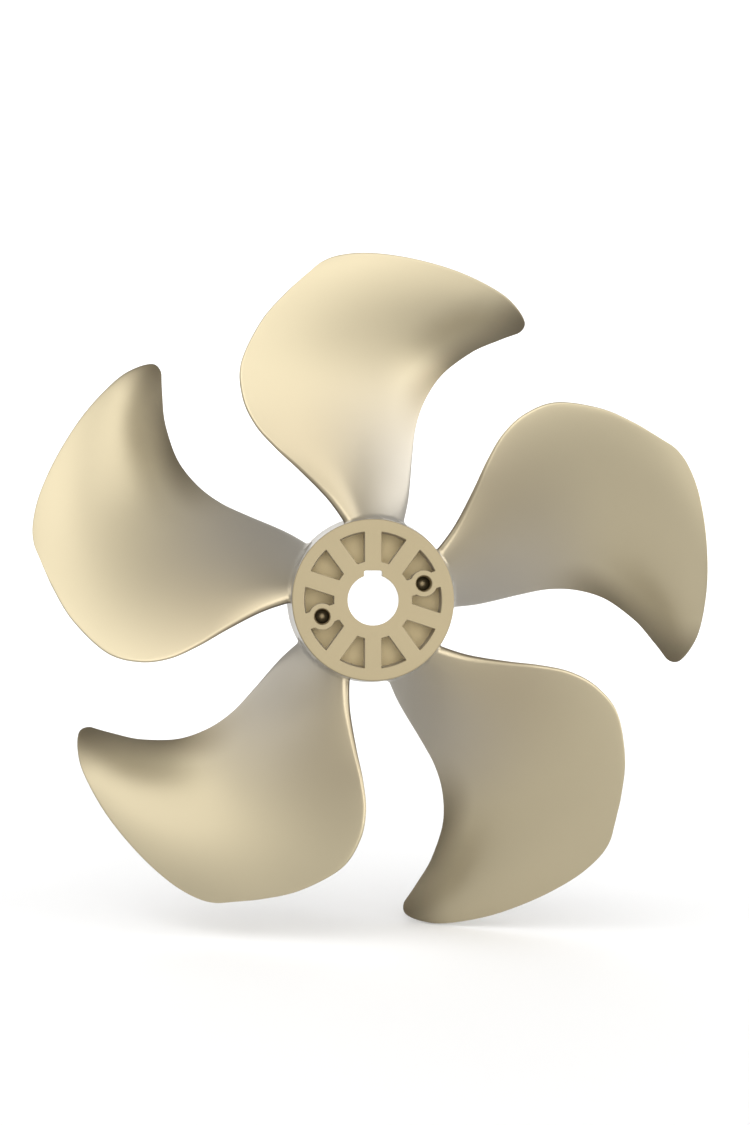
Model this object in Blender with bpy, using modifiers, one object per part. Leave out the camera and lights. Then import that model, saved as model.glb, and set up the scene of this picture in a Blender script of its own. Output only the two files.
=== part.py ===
# Five-bladed tunnel thruster propeller, moulded in one piece round a keyed hub.
# The shaft axis is the Y axis: the pocketed face of the hub looks towards -Y, and +Z is up.
# The origin is on the shaft axis, in the plane of the hub's rear face. Sizes are in metres.

import math

import bmesh
import bpy
import numpy
from mathutils import Vector

MM = 0.001

# Hub
HUB_LENGTH = 36.0 * MM
HUB_FRONT_RADIUS = 28.1 * MM
HUB_REAR_RADIUS = 30.6 * MM
HUB_FRONT_ROUND = 0.8 * MM
HUB_REAR_ROUND = 1.5 * MM
HUB_ROUND_STEPS = 3
HUB_SIDE_STEPS = 5
HUB_SEGMENTS = 60

# Bore and keyway
BORE_RADIUS = 8.75 * MM
BORE_SEGMENTS = 48
KEYWAY_WIDTH = 6.2 * MM
KEYWAY_TOP = 10.2 * MM

# Pockets between the ribs of the front face
RIB_COUNT = 10
RIB_WIDTH = 5.76 * MM
POCKET_INNER_RADIUS = 13.5 * MM
POCKET_OUTER_RADIUS = 23.8 * MM
POCKET_DEPTH = 11.0 * MM
POCKET_ARC_STEPS = 4

# Bosses with a threaded bush, on two opposite ribs
BOSS_ANGLES = {"right": 18.0, "left": 198.0}
BOSS_CIRCLE_RADIUS = 18.5 * MM
BOSS_RADIUS = 4.6 * MM
BOSS_SEGMENTS = 32
BUSH_LIP_RADIUS = 2.85 * MM
BUSH_LIP_LENGTH = 1.2 * MM
BUSH_OUTER_RADIUS = 3.3 * MM
BUSH_BORE_RADIUS = 2.5 * MM
BUSH_LENGTH = 9.0 * MM
BUSH_FLOOR = 1.2 * MM
BUSH_DOME_HEIGHT = 1.3 * MM
BUSH_DOME_STEPS = 5
BUSH_SEGMENTS = 32
SEAT_GAP = 0.3 * MM
CUTTER_REACH = 2.0 * MM

# Blade outline as (radius in mm, angle in degrees from the blade's centre line, towards its
# leading edge), seen from the front with the blade upright
BLADE_COUNT = 5
BLADE_ROOT_RADIUS = 25.2 * MM
TIP_RADIUS = 123.0 * MM
LEADING_EDGE = [(25.2, 18.5), (34.8, 23.0), (41.8, 26.0), (52.1, 30.0), (62.4, 33.0), (72.6, 34.2),
                (82.8, 33.0), (93.2, 29.3), (103.6, 22.1), (110.9, 15.9), (116.3, 11.2)]
OUTER_EDGE = [(116.3, 11.2), (120.0, 8.4), (122.1, 5.0), (123.0, 0.0), (122.9, -7.0), (122.7, -15.0),
              (122.1, -22.5), (120.8, -26.5), (118.1, -29.4), (114.0, -29.3), (111.2, -27.2)]
TRAILING_EDGE = [(25.2, -24.6), (36.3, -21.0), (43.6, -18.5), (54.6, -15.5), (65.6, -13.9), (76.7, -14.4),
                 (87.8, -16.7), (98.6, -21.0), (106.1, -24.8), (111.2, -27.2)]
OUTLINE_ALLOWANCE = 0.6 * MM

# Blade sections: radius, angle of the chord's middle and half its angle (mm and degrees), then in
# mm the depth of the middle behind the hub's front face, the pitch arm (depth gained by each
# radian turned towards the trailing edge), the camber and the curl of the chord's two ends
SECTIONS = [
    (25.0, -3.1, 21.4, 16.4, 34.0, 0.8, -0.6),
    (40.0, 3.2, 22.4, 15.5, 36.0, 1.0, -0.7),
    (55.0, 7.5, 23.0, 14.3, 39.5, 1.4, -0.8),
    (70.0, 10.1, 24.0, 13.2, 43.5, 1.5, -1.0),
    (85.0, 8.4, 24.6, 13.7, 46.0, 1.6, -0.8),
    (100.0, 1.2, 23.8, 17.0, 45.5, 1.8, 0.2),
    (112.0, -6.8, 22.0, 20.9, 44.0, 2.2, 1.2),
    (123.0, -11.5, 19.9, 23.4, 42.5, 3.0, 1.2),
]
SECTION_DEGREE = 5

# The trailing edge rolls back near the tip
ROLL_DEPTH = 4.2 * MM
ROLL_START_RADIUS = 74.0 * MM
ROLL_FULL_RADIUS = 98.0 * MM
ROLL_START = 0.4

# Blade thickness
ROOT_THICKNESS = 5.4 * MM
TIP_THICKNESS = 1.7 * MM
THICKNESS_FALL = 0.8
EDGE_HALF_THICKNESS = 0.55 * MM
NOSE_HALF_THICKNESS = 1.9 * MM
NOSE_END_RADIUS = 72.0 * MM
FILLET_RADIUS = 2.6 * MM

# Blade mesh
FILLET_ROWS = (0.0, 3.2, 4.4, 5.8, 7.8)
SPAN_ROWS = 14
SPAN_EVENNESS = 0.6
CHORD_COLUMNS = 12
CHORD_STEP = 0.01
EDGE_STEPS = 2
WELD_DISTANCE = 0.01 * MM

# Colours: linear red, green, blue
MOULDING_COLOUR = (0.55, 0.47, 0.27, 1.0)
BUSH_COLOUR = (0.05, 0.035, 0.018, 1.0)


def clear_scene():
    for old in list(bpy.data.objects):
        bpy.data.objects.remove(old, do_unlink=True)


def new_collection(name):
    collection = bpy.data.collections.new(name)
    bpy.context.scene.collection.children.link(collection)
    return collection


def new_material(name, colour, roughness, metallic):
    material = bpy.data.materials.new(name)
    material.use_nodes = True
    shader = material.node_tree.nodes["Principled BSDF"]
    shader.inputs["Base Color"].default_value = colour
    shader.inputs["Roughness"].default_value = roughness
    shader.inputs["Metallic"].default_value = metallic
    return material


def link_mesh(name, mesh, collection):
    item = bpy.data.objects.new(name, mesh)
    collection.objects.link(item)
    return item


def mesh_from(shape, name):
    mesh = bpy.data.meshes.new(name)
    shape.to_mesh(mesh)
    shape.free()
    return mesh


def mark_cutter(item):
    item.hide_render = True
    item.display_type = "WIRE"


def add_boolean(target, tool, operation):
    modifier = target.modifiers.new(f"{operation.lower()}_{tool.name}", "BOOLEAN")
    modifier.operation = operation
    modifier.solver = "EXACT"
    modifier.object = tool


# Shapes: turned about Z, round along Z, and a flat outline drawn out along Z

def turned_object(name, profile, segments, collection):
    """Turn a list of (radius, height) points about Z; it runs down the outer side."""
    mesh = bpy.data.meshes.new(name)
    points = [(radius, 0.0, height) for radius, height in profile]
    edges = [(i, i + 1) for i in range(len(points) - 1)]
    mesh.from_pydata(points, edges, [])
    item = link_mesh(name, mesh, collection)
    screw = item.modifiers.new("turn", "SCREW")
    screw.axis = "Z"
    screw.steps = segments
    screw.render_steps = segments
    screw.use_merge_vertices = True
    screw.merge_threshold = WELD_DISTANCE
    screw.use_smooth_shade = True
    return item


def quarter_round(radius, centre_radius, centre_height, start, steps):
    """Points of a quarter circle, from the angle start and turning clockwise."""
    points = []
    for i in range(steps + 1):
        angle = math.radians(start - 90.0 * i / steps)
        points.append((centre_radius + radius * math.cos(angle), centre_height + radius * math.sin(angle)))
    return points


def cylinder_object(name, radius, top, bottom, centre, segments, collection):
    shape = bmesh.new()
    bmesh.ops.create_cone(shape, cap_ends=True, segments=segments, radius1=radius, radius2=radius,
                          depth=top - bottom)
    bmesh.ops.translate(shape, verts=shape.verts, vec=(centre[0], centre[1], (top + bottom) / 2.0))
    return link_mesh(name, mesh_from(shape, name), collection)


def flat_mesh(name, outline, top, bottom):
    """Mesh of a closed flat outline in the XY plane, drawn out between two heights."""
    curve = bpy.data.curves.new(name, "CURVE")
    curve.dimensions = "2D"
    curve.fill_mode = "BOTH"
    curve.extrude = (top - bottom) / 2.0
    spline = curve.splines.new("POLY")
    spline.points.add(len(outline) - 1)
    for point, (x, y) in zip(spline.points, outline):
        point.co = (x, y, 0.0, 1.0)
    spline.use_cyclic_u = True
    drawn = link_mesh(name, curve, bpy.context.scene.collection)
    graph = bpy.context.evaluated_depsgraph_get()
    shape = bmesh.new()
    shape.from_mesh(bpy.data.meshes.new_from_object(drawn.evaluated_get(graph)))
    bpy.data.objects.remove(drawn, do_unlink=True)
    bmesh.ops.remove_doubles(shape, verts=shape.verts, dist=WELD_DISTANCE)
    bmesh.ops.translate(shape, verts=shape.verts, vec=(0.0, 0.0, (top + bottom) / 2.0))
    bmesh.ops.recalc_face_normals(shape, faces=shape.faces)
    return mesh_from(shape, name)


# Hub

def hub_side_radius(depth):
    """Radius of the hub's side at a depth behind its front face: it flares towards the rear."""
    share = min(max(depth / HUB_LENGTH, 0.0), 1.0)
    return HUB_FRONT_RADIUS + (HUB_REAR_RADIUS - HUB_FRONT_RADIUS) * math.sin(share * math.pi / 2.0)


def hub_profile():
    """Profile with the front face at height 0 and the rear face at minus the hub's length."""
    front = HUB_FRONT_ROUND
    rear = HUB_REAR_ROUND
    profile = [(0.0, 0.0)]
    profile += quarter_round(front, HUB_FRONT_RADIUS - front, -front, 90.0, HUB_ROUND_STEPS)
    for i in range(1, HUB_SIDE_STEPS):
        depth = front + (HUB_LENGTH - front - rear) * i / HUB_SIDE_STEPS
        profile.append((hub_side_radius(depth), -depth))
    profile += quarter_round(rear, HUB_REAR_RADIUS - rear, rear - HUB_LENGTH, 0.0, HUB_ROUND_STEPS)
    profile.append((0.0, -HUB_LENGTH))
    return profile


def pocket_outline(middle):
    """Wedge between two parallel-sided ribs, its arcs about the shaft."""
    half_angle = math.pi / RIB_COUNT
    points = []
    for radius, turn in ((POCKET_OUTER_RADIUS, 1.0), (POCKET_INNER_RADIUS, -1.0)):
        reach = half_angle - math.asin(RIB_WIDTH / 2.0 / radius)
        for i in range(POCKET_ARC_STEPS + 1):
            angle = middle + turn * reach * (2.0 * i / POCKET_ARC_STEPS - 1.0)
            points.append((radius * math.cos(angle), radius * math.sin(angle)))
    return points


def boss_centre(angle):
    turn = math.radians(angle)
    return BOSS_CIRCLE_RADIUS * math.cos(turn), BOSS_CIRCLE_RADIUS * math.sin(turn)


def bore_cutter(cutters):
    """Round bore with the keyway on its upper side, through the whole hub."""
    bottom = -HUB_LENGTH - CUTTER_REACH
    bore = cylinder_object("bore", BORE_RADIUS, CUTTER_REACH, bottom, (0.0, 0.0), BORE_SEGMENTS, cutters)
    shape = bmesh.new()
    bmesh.ops.create_cube(shape, size=1.0)
    bmesh.ops.scale(shape, verts=shape.verts, vec=(KEYWAY_WIDTH, KEYWAY_TOP, CUTTER_REACH - bottom))
    middle = (0.0, KEYWAY_TOP / 2.0, (CUTTER_REACH + bottom) / 2.0)
    bmesh.ops.translate(shape, verts=shape.verts, vec=middle)
    keyway = link_mesh("keyway", mesh_from(shape, "keyway"), cutters)
    keyway.parent = bore
    mark_cutter(keyway)
    add_boolean(bore, keyway, "UNION")
    return bore


def pocket_cutter(cutters):
    """All ten pockets as one cutter, with the round bosses kept out of it."""
    shape = bmesh.new()
    for i in range(RIB_COUNT):
        middle = math.radians(360.0 / RIB_COUNT * (i + 0.5) + 90.0)
        wedge = flat_mesh("wedge", pocket_outline(middle), CUTTER_REACH, -POCKET_DEPTH)
        shape.from_mesh(wedge)
        bpy.data.meshes.remove(wedge)
    pockets = link_mesh("pockets", mesh_from(shape, "pockets"), cutters)
    for side, angle in BOSS_ANGLES.items():
        bottom = -POCKET_DEPTH - CUTTER_REACH
        boss = cylinder_object(f"boss_{side}", BOSS_RADIUS, 2.0 * CUTTER_REACH, bottom, boss_centre(angle),
                               BOSS_SEGMENTS, cutters)
        boss.parent = pockets
        mark_cutter(boss)
        add_boolean(pockets, boss, "DIFFERENCE")
    return pockets


def bush_seat_cutter(side, cutters):
    """Hole in a boss, with the wider seat of its bush below a thin lip."""
    seat = BUSH_OUTER_RADIUS + SEAT_GAP
    bottom = -BUSH_LIP_LENGTH - BUSH_LENGTH - 2.0 * SEAT_GAP
    profile = [(0.0, CUTTER_REACH), (BUSH_LIP_RADIUS, CUTTER_REACH), (BUSH_LIP_RADIUS, -BUSH_LIP_LENGTH),
               (seat, -BUSH_LIP_LENGTH), (seat, bottom), (0.0, bottom)]
    return turned_object(f"bush_seat_{side}", profile, BUSH_SEGMENTS, cutters)


# Blade outline: a patch between the leading, outer and trailing edges and the root

def smooth_line(points, share):
    """Point at a share of the way along a Catmull-Rom line through plane points."""
    spans = len(points) - 1
    place = min(max(share, 0.0), 1.0) * spans
    index = min(int(place), spans - 1)
    t = place - index
    b = points[index]
    c = points[index + 1]
    a = points[index - 1] if index > 0 else b * 2.0 - c
    d = points[index + 2] if index + 2 <= spans else c * 2.0 - b
    return 0.5 * (b * 2.0 + (c - a) * t + (a * 2.0 - b * 5.0 + c * 4.0 - d) * t * t
                  + (b * 3.0 - a - c * 3.0 + d) * t * t * t)


def plane_line(edge, allowance):
    """Polar points in mm and degrees as plane points in metres: across to the right, and up."""
    line = []
    for radius, angle in edge:
        turn = math.radians(angle)
        reach = radius * MM + allowance
        line.append(Vector((-reach * math.sin(turn), reach * math.cos(turn))))
    return line


LEADING_LINE = plane_line(LEADING_EDGE, 0.0)
OUTER_LINE = plane_line(OUTER_EDGE, OUTLINE_ALLOWANCE)
TRAILING_LINE = plane_line(TRAILING_EDGE, 0.0)


def patch_point(u, v):
    """Point of the blade's outline patch: u runs from leading to trailing edge, v from root to tip."""
    leading = smooth_line(LEADING_LINE, v)
    trailing = smooth_line(TRAILING_LINE, v)
    outer = smooth_line(OUTER_LINE, u)
    start = math.radians(LEADING_EDGE[0][1])
    end = math.radians(TRAILING_EDGE[0][1])
    turn = start + (end - start) * u
    root = Vector((-BLADE_ROOT_RADIUS * math.sin(turn), BLADE_ROOT_RADIUS * math.cos(turn)))
    inner_corners = LEADING_LINE[0].lerp(TRAILING_LINE[0], u)
    outer_corners = OUTER_LINE[0].lerp(OUTER_LINE[-1], u)
    return leading.lerp(trailing, u) + root.lerp(outer, v) - inner_corners.lerp(outer_corners, v)


# Blade surface

def blade_share(radius):
    """Share of the way from the root to the tip."""
    return (radius - BLADE_ROOT_RADIUS) / (TIP_RADIUS - BLADE_ROOT_RADIUS)


def section_curves():
    """One smooth polynomial of the blade's share for each column of the section table."""
    table = numpy.array(SECTIONS)
    shares = [blade_share(radius * MM) for radius in table[:, 0]]
    return [list(numpy.polyfit(shares, column, SECTION_DEGREE)) for column in table[:, 1:].T]


SECTION_CURVES = section_curves()


def section_at(radius):
    """Values of the section at a radius, in the order of the table."""
    share = blade_share(radius)
    values = []
    for curve in SECTION_CURVES:
        value = 0.0
        for factor in curve:
            value = value * share + factor
        values.append(value)
    return values


def roll_depth(radius, place):
    """Extra depth of the rolled trailing edge; place is -1 there and 1 at the leading edge."""
    share = (radius - ROLL_START_RADIUS) / (ROLL_FULL_RADIUS - ROLL_START_RADIUS)
    share = min(max(share, 0.0), 1.0)
    turn = max((-place - ROLL_START) / (1.0 - ROLL_START), 0.0)
    return ROLL_DEPTH * share * share * (3.0 - 2.0 * share) * turn * turn


def blade_depth(x, z):
    """Depth of the blade's middle surface behind the hub's front face."""
    radius = math.hypot(x, z)
    middle, half, depth, arm, camber, curl = section_at(radius)
    turn = math.atan2(-x, z) - math.radians(middle)
    place = turn / math.radians(half)
    bow = camber * place ** 2 - curl * place ** 3
    return (depth - arm * turn + bow) * MM + roll_depth(radius, place)


def surface_point(x, z):
    return Vector((x, blade_depth(x, z) - HUB_LENGTH, z))


def surface_normal(x, z):
    """Unit normal of the middle surface, on the side that looks to the front."""
    step = 0.2 * MM
    across = surface_point(x + step, z) - surface_point(x - step, z)
    upward = surface_point(x, z + step) - surface_point(x, z - step)
    return across.cross(upward).normalized()


def fillet_growth(radius, depth):
    """How far the fillet at the hub widens the blade on each side."""
    height = max(radius - hub_side_radius(depth), 0.0)
    if height >= FILLET_RADIUS:
        return 0.0
    return FILLET_RADIUS - math.sqrt(FILLET_RADIUS ** 2 - (FILLET_RADIUS - height) ** 2)


def nose_half_thickness(radius):
    """Half thickness at the leading edge, which is thick and round near the hub."""
    share = (radius - HUB_FRONT_RADIUS) / (NOSE_END_RADIUS - HUB_FRONT_RADIUS)
    left = 1.0 - min(max(share, 0.0), 1.0)
    return EDGE_HALF_THICKNESS + (NOSE_HALF_THICKNESS - EDGE_HALF_THICKNESS) * left * left


def half_thickness(u, radius):
    share = min(max(blade_share(radius), 0.0), 1.0)
    full = ROOT_THICKNESS + (TIP_THICKNESS - ROOT_THICKNESS) * share ** THICKNESS_FALL
    nose = nose_half_thickness(radius)
    edge = nose + (EDGE_HALF_THICKNESS - nose) * u
    crown = math.sqrt(max(math.sin(math.pi * min(max(u, 0.0), 1.0)), 0.0))
    return edge + (full / 2.0 - edge) * crown


# Blade mesh: a loft of closed rings, from inside the hub to the outer edge

def rounded_edge(size, length):
    """Places and shares of thickness over the rounding of an edge, from the edge inwards."""
    steps = [math.pi / 2.0 * i / EDGE_STEPS for i in range(EDGE_STEPS)]
    return [(size * (1.0 - math.cos(angle)) / length, math.sin(angle)) for angle in steps]


def chord_places(radius, length):
    """Places across the chord from 0 to 1, with both edges rounded, and shares of thickness."""
    nose = nose_half_thickness(radius)
    places = rounded_edge(nose, length)
    start = nose / length
    end = 1.0 - EDGE_HALF_THICKNESS / length
    for i in range(CHORD_COLUMNS + 1):
        share = i / CHORD_COLUMNS
        eased = 0.5 - 0.5 * math.cos(math.pi * share)
        places.append((start + (end - start) * (share + eased) / 2.0, 1.0))
    trailing = reversed(rounded_edge(EDGE_HALF_THICKNESS, length))
    return places + [(1.0 - place, thick) for place, thick in trailing]


def span_places():
    """Rows from the root to the outer edge: close together in the fillet and at the edge."""
    length = TIP_RADIUS - BLADE_ROOT_RADIUS
    rows = [(height * MM / length, 1.0) for height in FILLET_ROWS]
    first = rows[-1][0]
    last = 1.0 - EDGE_HALF_THICKNESS / length
    for i in range(1, SPAN_ROWS + 1):
        share = i / SPAN_ROWS
        crowded = math.sin(share * math.pi / 2.0)
        place = SPAN_EVENNESS * share + (1.0 - SPAN_EVENNESS) * crowded
        rows.append((first + (last - first) * place, 1.0))
    outer = reversed(rounded_edge(EDGE_HALF_THICKNESS, length))
    return rows + [(1.0 - place, thick) for place, thick in outer]


def blade_ring(v, edge_share):
    """One closed ring round the blade: the front from leading to trailing edge, then the back."""
    leading = patch_point(0.0, v)
    chord = (leading - patch_point(1.0, v)).length
    front = []
    back = []
    for u, share in chord_places(leading.length, chord):
        flat = patch_point(u, v)
        middle = surface_point(flat.x, flat.y)
        normal = surface_normal(flat.x, flat.y)
        growth = fillet_growth(flat.length, middle.y + HUB_LENGTH)
        if growth > 0.0:
            along = patch_point(min(u + CHORD_STEP, 1.0), v) - patch_point(max(u - CHORD_STEP, 0.0), v)
            run = (surface_point(flat.x + along.x, flat.y + along.y) - middle).normalized()
            middle += run * growth * (2.0 * u - 1.0) ** 3
        reach = (half_thickness(u, flat.length) + growth) * share * edge_share
        front.append(middle + normal * reach)
        back.append(middle - normal * reach)
    return front + back[-2:0:-1]


def blade_mesh(name):
    shape = bmesh.new()
    rings = [[shape.verts.new(point) for point in blade_ring(v, share)] for v, share in span_places()]
    count = len(rings[0])
    for inner, outer in zip(rings, rings[1:]):
        for i in range(count):
            j = (i + 1) % count
            shape.faces.new((inner[i], inner[j], outer[j], outer[i]))
    shape.faces.new(list(reversed(rings[0])))
    bmesh.ops.remove_doubles(shape, verts=shape.verts, dist=WELD_DISTANCE)
    bmesh.ops.triangulate(shape, faces=shape.faces)
    bmesh.ops.recalc_face_normals(shape, faces=shape.faces)
    mesh = mesh_from(shape, name)
    mesh.shade_smooth()
    return mesh


# The pieces

def upright(item, parent, centre=(0.0, 0.0)):
    """Stand a shape drawn along Z on the hub's front face: its +Z end looks to the front."""
    item.parent = parent
    item.rotation_euler = (math.pi / 2.0, 0.0, 0.0)
    item.location = (centre[0], -HUB_LENGTH, centre[1])


def build_moulding(parts, cutters, frame_empty):
    moulding = turned_object("propeller_moulding", hub_profile(), HUB_SEGMENTS, parts)
    upright(moulding, frame_empty)
    blade_shape = blade_mesh("blade")
    for i in range(BLADE_COUNT):
        blade = link_mesh(f"blade_{i + 1}", blade_shape, cutters)
        blade.parent = frame_empty
        blade.rotation_euler = (0.0, math.radians(360.0 / BLADE_COUNT * i), 0.0)
        mark_cutter(blade)
        add_boolean(moulding, blade, "UNION")
    tools = [(bore_cutter(cutters), (0.0, 0.0)), (pocket_cutter(cutters), (0.0, 0.0))]
    tools += [(bush_seat_cutter(side, cutters), boss_centre(angle)) for side, angle in BOSS_ANGLES.items()]
    for tool, centre in tools:
        upright(tool, frame_empty, centre)
        mark_cutter(tool)
        add_boolean(moulding, tool, "DIFFERENCE")
    return moulding


def build_bush(side, centre, parts, frame_empty):
    """Threaded bush: a blind sleeve with a domed floor, open to the front."""
    top = -BUSH_LIP_LENGTH - SEAT_GAP
    bottom = top - BUSH_LENGTH
    base = bottom + BUSH_FLOOR
    profile = [(BUSH_BORE_RADIUS, top), (BUSH_OUTER_RADIUS, top)]
    profile += [(BUSH_OUTER_RADIUS, bottom), (0.0, bottom)]
    for i in range(BUSH_DOME_STEPS + 1):
        angle = math.pi / 2.0 * (1.0 - i / BUSH_DOME_STEPS)
        profile.append((BUSH_BORE_RADIUS * math.cos(angle), base + BUSH_DOME_HEIGHT * math.sin(angle)))
    profile.append((BUSH_BORE_RADIUS, top))
    bush = turned_object(f"puller_bush_{side}", profile, BUSH_SEGMENTS, parts)
    upright(bush, frame_empty, centre)
    return bush


def main():
    clear_scene()
    parts = new_collection("thruster_propeller")
    cutters = new_collection("cutters")
    frame_empty = bpy.data.objects.new("propeller_frame", None)
    parts.objects.link(frame_empty)
    moulding = build_moulding(parts, cutters, frame_empty)
    champagne = new_material("champagne_moulding", MOULDING_COLOUR, roughness=0.35, metallic=0.6)
    bronze = new_material("dark_bronze", BUSH_COLOUR, roughness=0.3, metallic=0.9)
    moulding.data.materials.append(champagne)
    for side, angle in BOSS_ANGLES.items():
        bush = build_bush(side, boss_centre(angle), parts, frame_empty)
        bush.data.materials.append(bronze)


main()
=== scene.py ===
import math

import bpy
import numpy
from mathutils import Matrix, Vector


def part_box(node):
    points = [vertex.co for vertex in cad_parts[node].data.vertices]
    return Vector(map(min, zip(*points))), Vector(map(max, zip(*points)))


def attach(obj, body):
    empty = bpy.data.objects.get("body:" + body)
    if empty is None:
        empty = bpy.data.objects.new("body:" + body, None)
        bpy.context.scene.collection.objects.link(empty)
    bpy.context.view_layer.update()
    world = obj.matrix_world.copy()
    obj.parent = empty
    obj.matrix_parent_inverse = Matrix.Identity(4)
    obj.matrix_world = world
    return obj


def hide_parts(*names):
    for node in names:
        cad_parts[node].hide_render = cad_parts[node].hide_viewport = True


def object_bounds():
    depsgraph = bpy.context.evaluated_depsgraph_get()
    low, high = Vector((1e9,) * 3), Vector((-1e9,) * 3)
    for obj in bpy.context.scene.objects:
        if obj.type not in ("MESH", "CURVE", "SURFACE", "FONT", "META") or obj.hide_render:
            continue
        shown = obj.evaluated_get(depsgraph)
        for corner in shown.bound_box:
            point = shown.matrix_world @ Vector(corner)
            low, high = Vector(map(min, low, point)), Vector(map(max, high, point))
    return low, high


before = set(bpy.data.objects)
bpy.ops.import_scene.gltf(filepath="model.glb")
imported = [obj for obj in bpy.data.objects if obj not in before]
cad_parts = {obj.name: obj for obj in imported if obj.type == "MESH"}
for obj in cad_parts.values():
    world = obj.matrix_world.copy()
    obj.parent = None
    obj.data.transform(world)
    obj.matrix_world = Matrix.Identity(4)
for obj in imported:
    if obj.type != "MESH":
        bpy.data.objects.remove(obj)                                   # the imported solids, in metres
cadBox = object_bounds()                                # the box that the dressed part stays in

mm = 0.001
rearY = 0.0                                         # plane of the hub's rear face, where the origin is
hubLength = 36.0 * mm
frontY = rearY - hubLength                          # plane of the pocketed face
overshoot = 3 * mm                                  # how far a cutter stands out of what it cuts
planeGap = mm / 100                                 # a point this near a plane lies on it
mergeGap = 0.002 * mm
sharpTurn = 50                                      # degrees between the two faces of a sharp edge


# small helpers

def dropSelection():
    if bpy.context.object and bpy.context.object.mode != "OBJECT":
        bpy.ops.object.mode_set(mode="OBJECT")
    bpy.ops.object.select_all(action="DESELECT")


def pick(piece):
    dropSelection()
    piece.select_set(True)
    bpy.context.view_layer.objects.active = piece


def named(name):
    piece = bpy.context.object
    piece.name = name
    piece.data.name = name
    return piece


def settle(piece):                                  # puts the place into the mesh, as a CAD node has it
    pick(piece)
    bpy.ops.object.transform_apply(location=True, rotation=True, scale=True)
    return piece


def selectEdges(piece, test):                       # leaves the piece in edit mode with those edges selected
    pick(piece)
    bpy.ops.object.mode_set(mode="EDIT")
    bpy.ops.mesh.select_mode(type="EDGE")
    bpy.ops.mesh.select_all(action="DESELECT")
    bpy.ops.object.mode_set(mode="OBJECT")
    verts = piece.data.vertices
    for edge in piece.data.edges:
        a, b = (verts[i].co for i in edge.vertices)
        edge.select = test(a, b)
    bpy.ops.object.mode_set(mode="EDIT")


def selectFaces(piece, test):                       # leaves the piece in edit mode with those faces selected
    pick(piece)
    bpy.ops.object.mode_set(mode="EDIT")
    bpy.ops.mesh.select_mode(type="FACE")
    bpy.ops.mesh.select_all(action="DESELECT")
    bpy.ops.object.mode_set(mode="OBJECT")
    for face in piece.data.polygons:
        face.select = test(face.center, face.normal)
    bpy.ops.object.mode_set(mode="EDIT")


def roundSharp(piece, test, size, segments):        # rounds the sharp edges whose two ends pass the test
    pick(piece)
    bpy.ops.object.mode_set(mode="EDIT")
    bpy.ops.mesh.select_mode(type="EDGE")
    bpy.ops.mesh.select_all(action="DESELECT")
    bpy.ops.mesh.edges_select_sharp(sharpness=math.radians(sharpTurn))
    bpy.ops.object.mode_set(mode="OBJECT")
    verts = piece.data.vertices
    for edge in piece.data.edges:
        a, b = (verts[i].co for i in edge.vertices)
        edge.select = edge.select and test(a, b)
    bpy.ops.object.mode_set(mode="EDIT")
    bpy.ops.mesh.bevel(offset=size, segments=segments, affect="EDGES", clamp_overlap=True,
                       loop_slide=False)            # a slide turns a few faces over
    bpy.ops.object.mode_set(mode="OBJECT")


def cutWith(piece, tool, operation="DIFFERENCE"):
    pick(piece)
    cut = piece.modifiers.new("cut", "BOOLEAN")
    cut.operation = operation
    cut.solver = "EXACT"
    cut.object = tool
    bpy.ops.object.modifier_apply(modifier=cut.name)
    bpy.data.objects.remove(tool, do_unlink=True)


def roundPost(name, radius, front, back, x, z, segments):   # a plain round cutter along the shaft's direction
    dropSelection()
    bpy.ops.mesh.primitive_cylinder_add(vertices=segments, radius=radius, depth=back - front,
                                        location=(x, (front + back) / 2, z), rotation=(math.pi / 2, 0, 0))
    return settle(named(name))


def copyOf(piece, name):                            # its own mesh, so that each copy can be turned by itself
    other = piece.copy()
    other.data = piece.data.copy()
    other.name = name
    bpy.context.collection.objects.link(other)
    return other


def turned(piece, degrees):                         # about the shaft, clockwise seen from the front
    piece.rotation_euler = (0, math.radians(degrees), 0)
    return settle(piece)


# hub

hub = {
    "frontRadius": 28.1 * mm,
    "rearRadius": 30.6 * mm,
    "frontRound": 0.5 * mm,
    "rearRound": 1.5 * mm,
    "frontRoundSteps": 5,
    "rearRoundSteps": 6,
    "sideRings": 12,
    "segments": 160,
    "edgeRound": 0.22 * mm,
    "flatNormal": 0.9999,                           # faces turned no further than this are the flat ones
}

bore = {
    "radius": 8.75 * mm,
    "segments": 128,
    "keyWidth": 6.2 * mm,
    "keyTop": 10.2 * mm,
    "keyCorner": 0.7 * mm,
}

pockets = {
    "ribs": 10,
    "ribWidth": 5.76 * mm,
    "innerRadius": 13.5 * mm,
    "outerRadius": 23.8 * mm,
    "depth": 11.0 * mm,
    "draft": 0.2 * mm,
    "corner": 0.25 * mm,
    "cornerReach": 0.005,                           # radians from a corner's own turn
    "ahead": 1 * mm,                                # how far the cutter starts before the face
    "arcCuts": 8,
}

bosses = {
    "angles": {"right": 18, "left": 198},
    "circleRadius": 18.5 * mm,
    "radius": 4.6 * mm,
    "holeRadius": 2.85 * mm,
    "holeGap": 0.3 * mm,                            # under the bush
    "segments": 64,
}


def hubSideRadius(depth):                           # the side flares towards the rear
    share = min(max(depth / hubLength, 0), 1)
    return hub["frontRadius"] + (hub["rearRadius"] - hub["frontRadius"]) * share ** 2


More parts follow.
